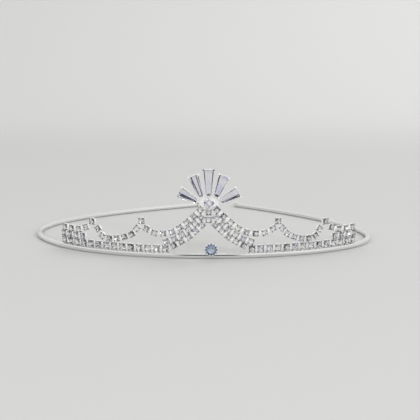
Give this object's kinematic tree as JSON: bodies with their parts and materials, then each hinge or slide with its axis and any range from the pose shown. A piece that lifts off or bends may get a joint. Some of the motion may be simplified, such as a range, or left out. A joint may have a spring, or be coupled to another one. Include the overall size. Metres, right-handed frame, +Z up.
{
  "type": "bridal tiara",
  "caption": "Open wire headband with a festooned wall of claw-set crystals, a fan of tapered baguettes over a round stone, and a blue stone in the centre opening.",
  "frame": {"origin": "underside of the band's wire at the middle of the front, on the rest plane, below the fan", "axes": "+X along the front, to the right when looking at the crown (the wearer's left), +Y from the crown to the open back, +Z up through the fan"},
  "size_m": [0.1443, 0.1145, 0.035],
  "materials": {
    "silver_wire": "polished silver-coloured plating",
    "silver_cups": "polished silver-coloured plating, each cup filled with a clear faceted stone",
    "clear_crystal": "clear faceted crystal with a faint lilac cast",
    "blue_crystal": "steel-blue faceted crystal"
  },
  "bodies": {
    "root": {"base_row_left": "silver_cups", "base_row_right": "silver_cups", "blue_cup": "silver_cups", "blue_stone": "blue_crystal", "crest_drop": "silver_cups", "end_middle_row_left": "silver_cups", "end_middle_row_right": "silver_cups", "end_top_row_left": "silver_cups", "end_top_row_right": "silver_cups", "fan_centre_baguette": "clear_crystal", "fan_centre_tray": "silver_cups", "fan_hub_cup": "silver_cups", "fan_hub_stone": "clear_crystal", "fan_inner_left_baguette": "clear_crystal", "fan_inner_left_tray": "silver_cups", "fan_inner_right_baguette": "clear_crystal", "fan_inner_right_tray": "silver_cups", "fan_outer_left_baguette": "clear_crystal", "fan_outer_left_tray": "silver_cups", "fan_outer_right_baguette": "clear_crystal", "fan_outer_right_tray": "silver_cups", "fan_backplate": "silver_cups", "festoon_left": "silver_cups", "festoon_right": "silver_cups", "headband_wire": "silver_wire", "inner_arch_left": "silver_cups", "inner_arch_right": "silver_cups", "inner_peak_left_cup": "silver_cups", "inner_peak_left_stone": "clear_crystal", "inner_peak_right_cup": "silver_cups", "inner_peak_right_stone": "clear_crystal", "middle_arch_left": "silver_cups", "middle_arch_right": "silver_cups", "outer_arch_left": "silver_cups", "outer_arch_right": "silver_cups", "outer_peak_left_cup": "silver_cups", "outer_peak_left_stone": "clear_crystal", "outer_peak_right_cup": "silver_cups", "outer_peak_right_stone": "clear_crystal", "tip_ball_left": "silver_wire", "tip_ball_right": "silver_wire"}
  },
  "joints": []
}
